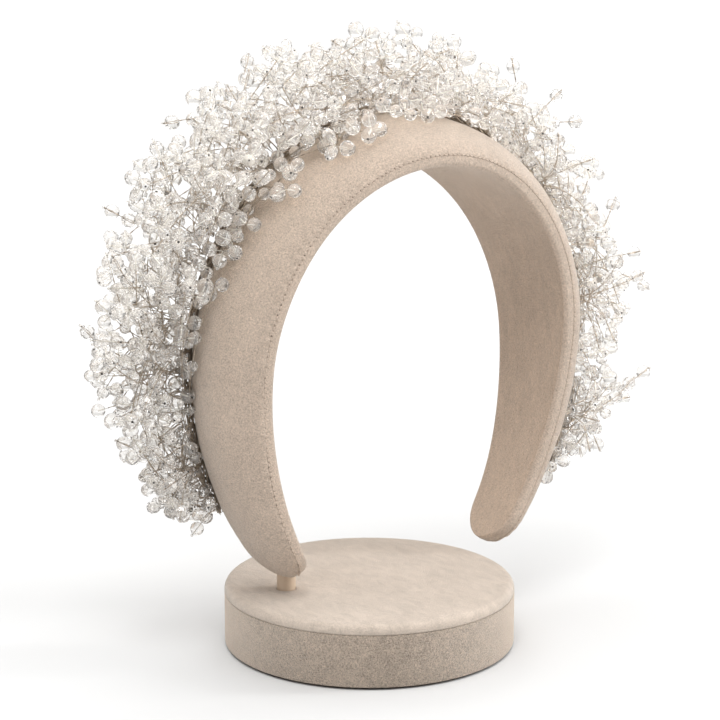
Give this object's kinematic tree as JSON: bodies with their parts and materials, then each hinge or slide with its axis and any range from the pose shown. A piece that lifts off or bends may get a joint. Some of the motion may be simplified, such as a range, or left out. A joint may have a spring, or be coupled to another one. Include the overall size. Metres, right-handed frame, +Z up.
{
  "type": "bridal headband on display stand",
  "caption": "Padded cloth headband with sprays of clear crystal beads on twisted wire along its crown, held by one tip on the short post of a round cloth-covered display stand.",
  "frame": {"origin": "centre of the display stand's underside", "axes": "+Z up, X across the head from one leg of the band to the other, -Y towards the band's bare front edge; the band leans 1.9 degrees to +X"},
  "size_m": [0.2381, 0.1094, 0.2274],
  "materials": {
    "sand_suede": "matte brushed suede, sand beige",
    "lining_suede": "matte brushed suede, slightly darker beige",
    "dark_board": "matte dark fibreboard",
    "post_paint": "matte sand beige paint",
    "silver_wire": "fine silver craft wire, twisted",
    "clear_crystal": "clear faceted crystal beads on silver wire"
  },
  "bodies": {
    "root": {"band_cover": "sand_suede", "band_lining": "lining_suede", "plinth_core": "dark_board", "plinth_sole": "dark_board", "plinth_side_cover": "sand_suede", "plinth_top_cover": "sand_suede", "stand_post": "post_paint", "vine_wire": "silver_wire", "crystal_spray_01": "clear_crystal", "crystal_spray_02": "clear_crystal", "crystal_spray_03": "clear_crystal", "crystal_spray_04": "clear_crystal", "crystal_spray_05": "clear_crystal", "crystal_spray_06": "clear_crystal", "crystal_spray_07": "clear_crystal", "crystal_spray_08": "clear_crystal", "crystal_spray_09": "clear_crystal", "crystal_spray_10": "clear_crystal", "crystal_spray_11": "clear_crystal", "crystal_spray_12": "clear_crystal", "crystal_spray_13": "clear_crystal", "crystal_spray_14": "clear_crystal", "crystal_spray_15": "clear_crystal", "crystal_spray_16": "clear_crystal", "crystal_spray_17": "clear_crystal", "crystal_spray_18": "clear_crystal", "crystal_spray_19": "clear_crystal", "crystal_spray_20": "clear_crystal", "crystal_spray_21": "clear_crystal", "crystal_spray_22": "clear_crystal", "crystal_spray_23": "clear_crystal", "crystal_spray_24": "clear_crystal"}
  },
  "joints": []
}
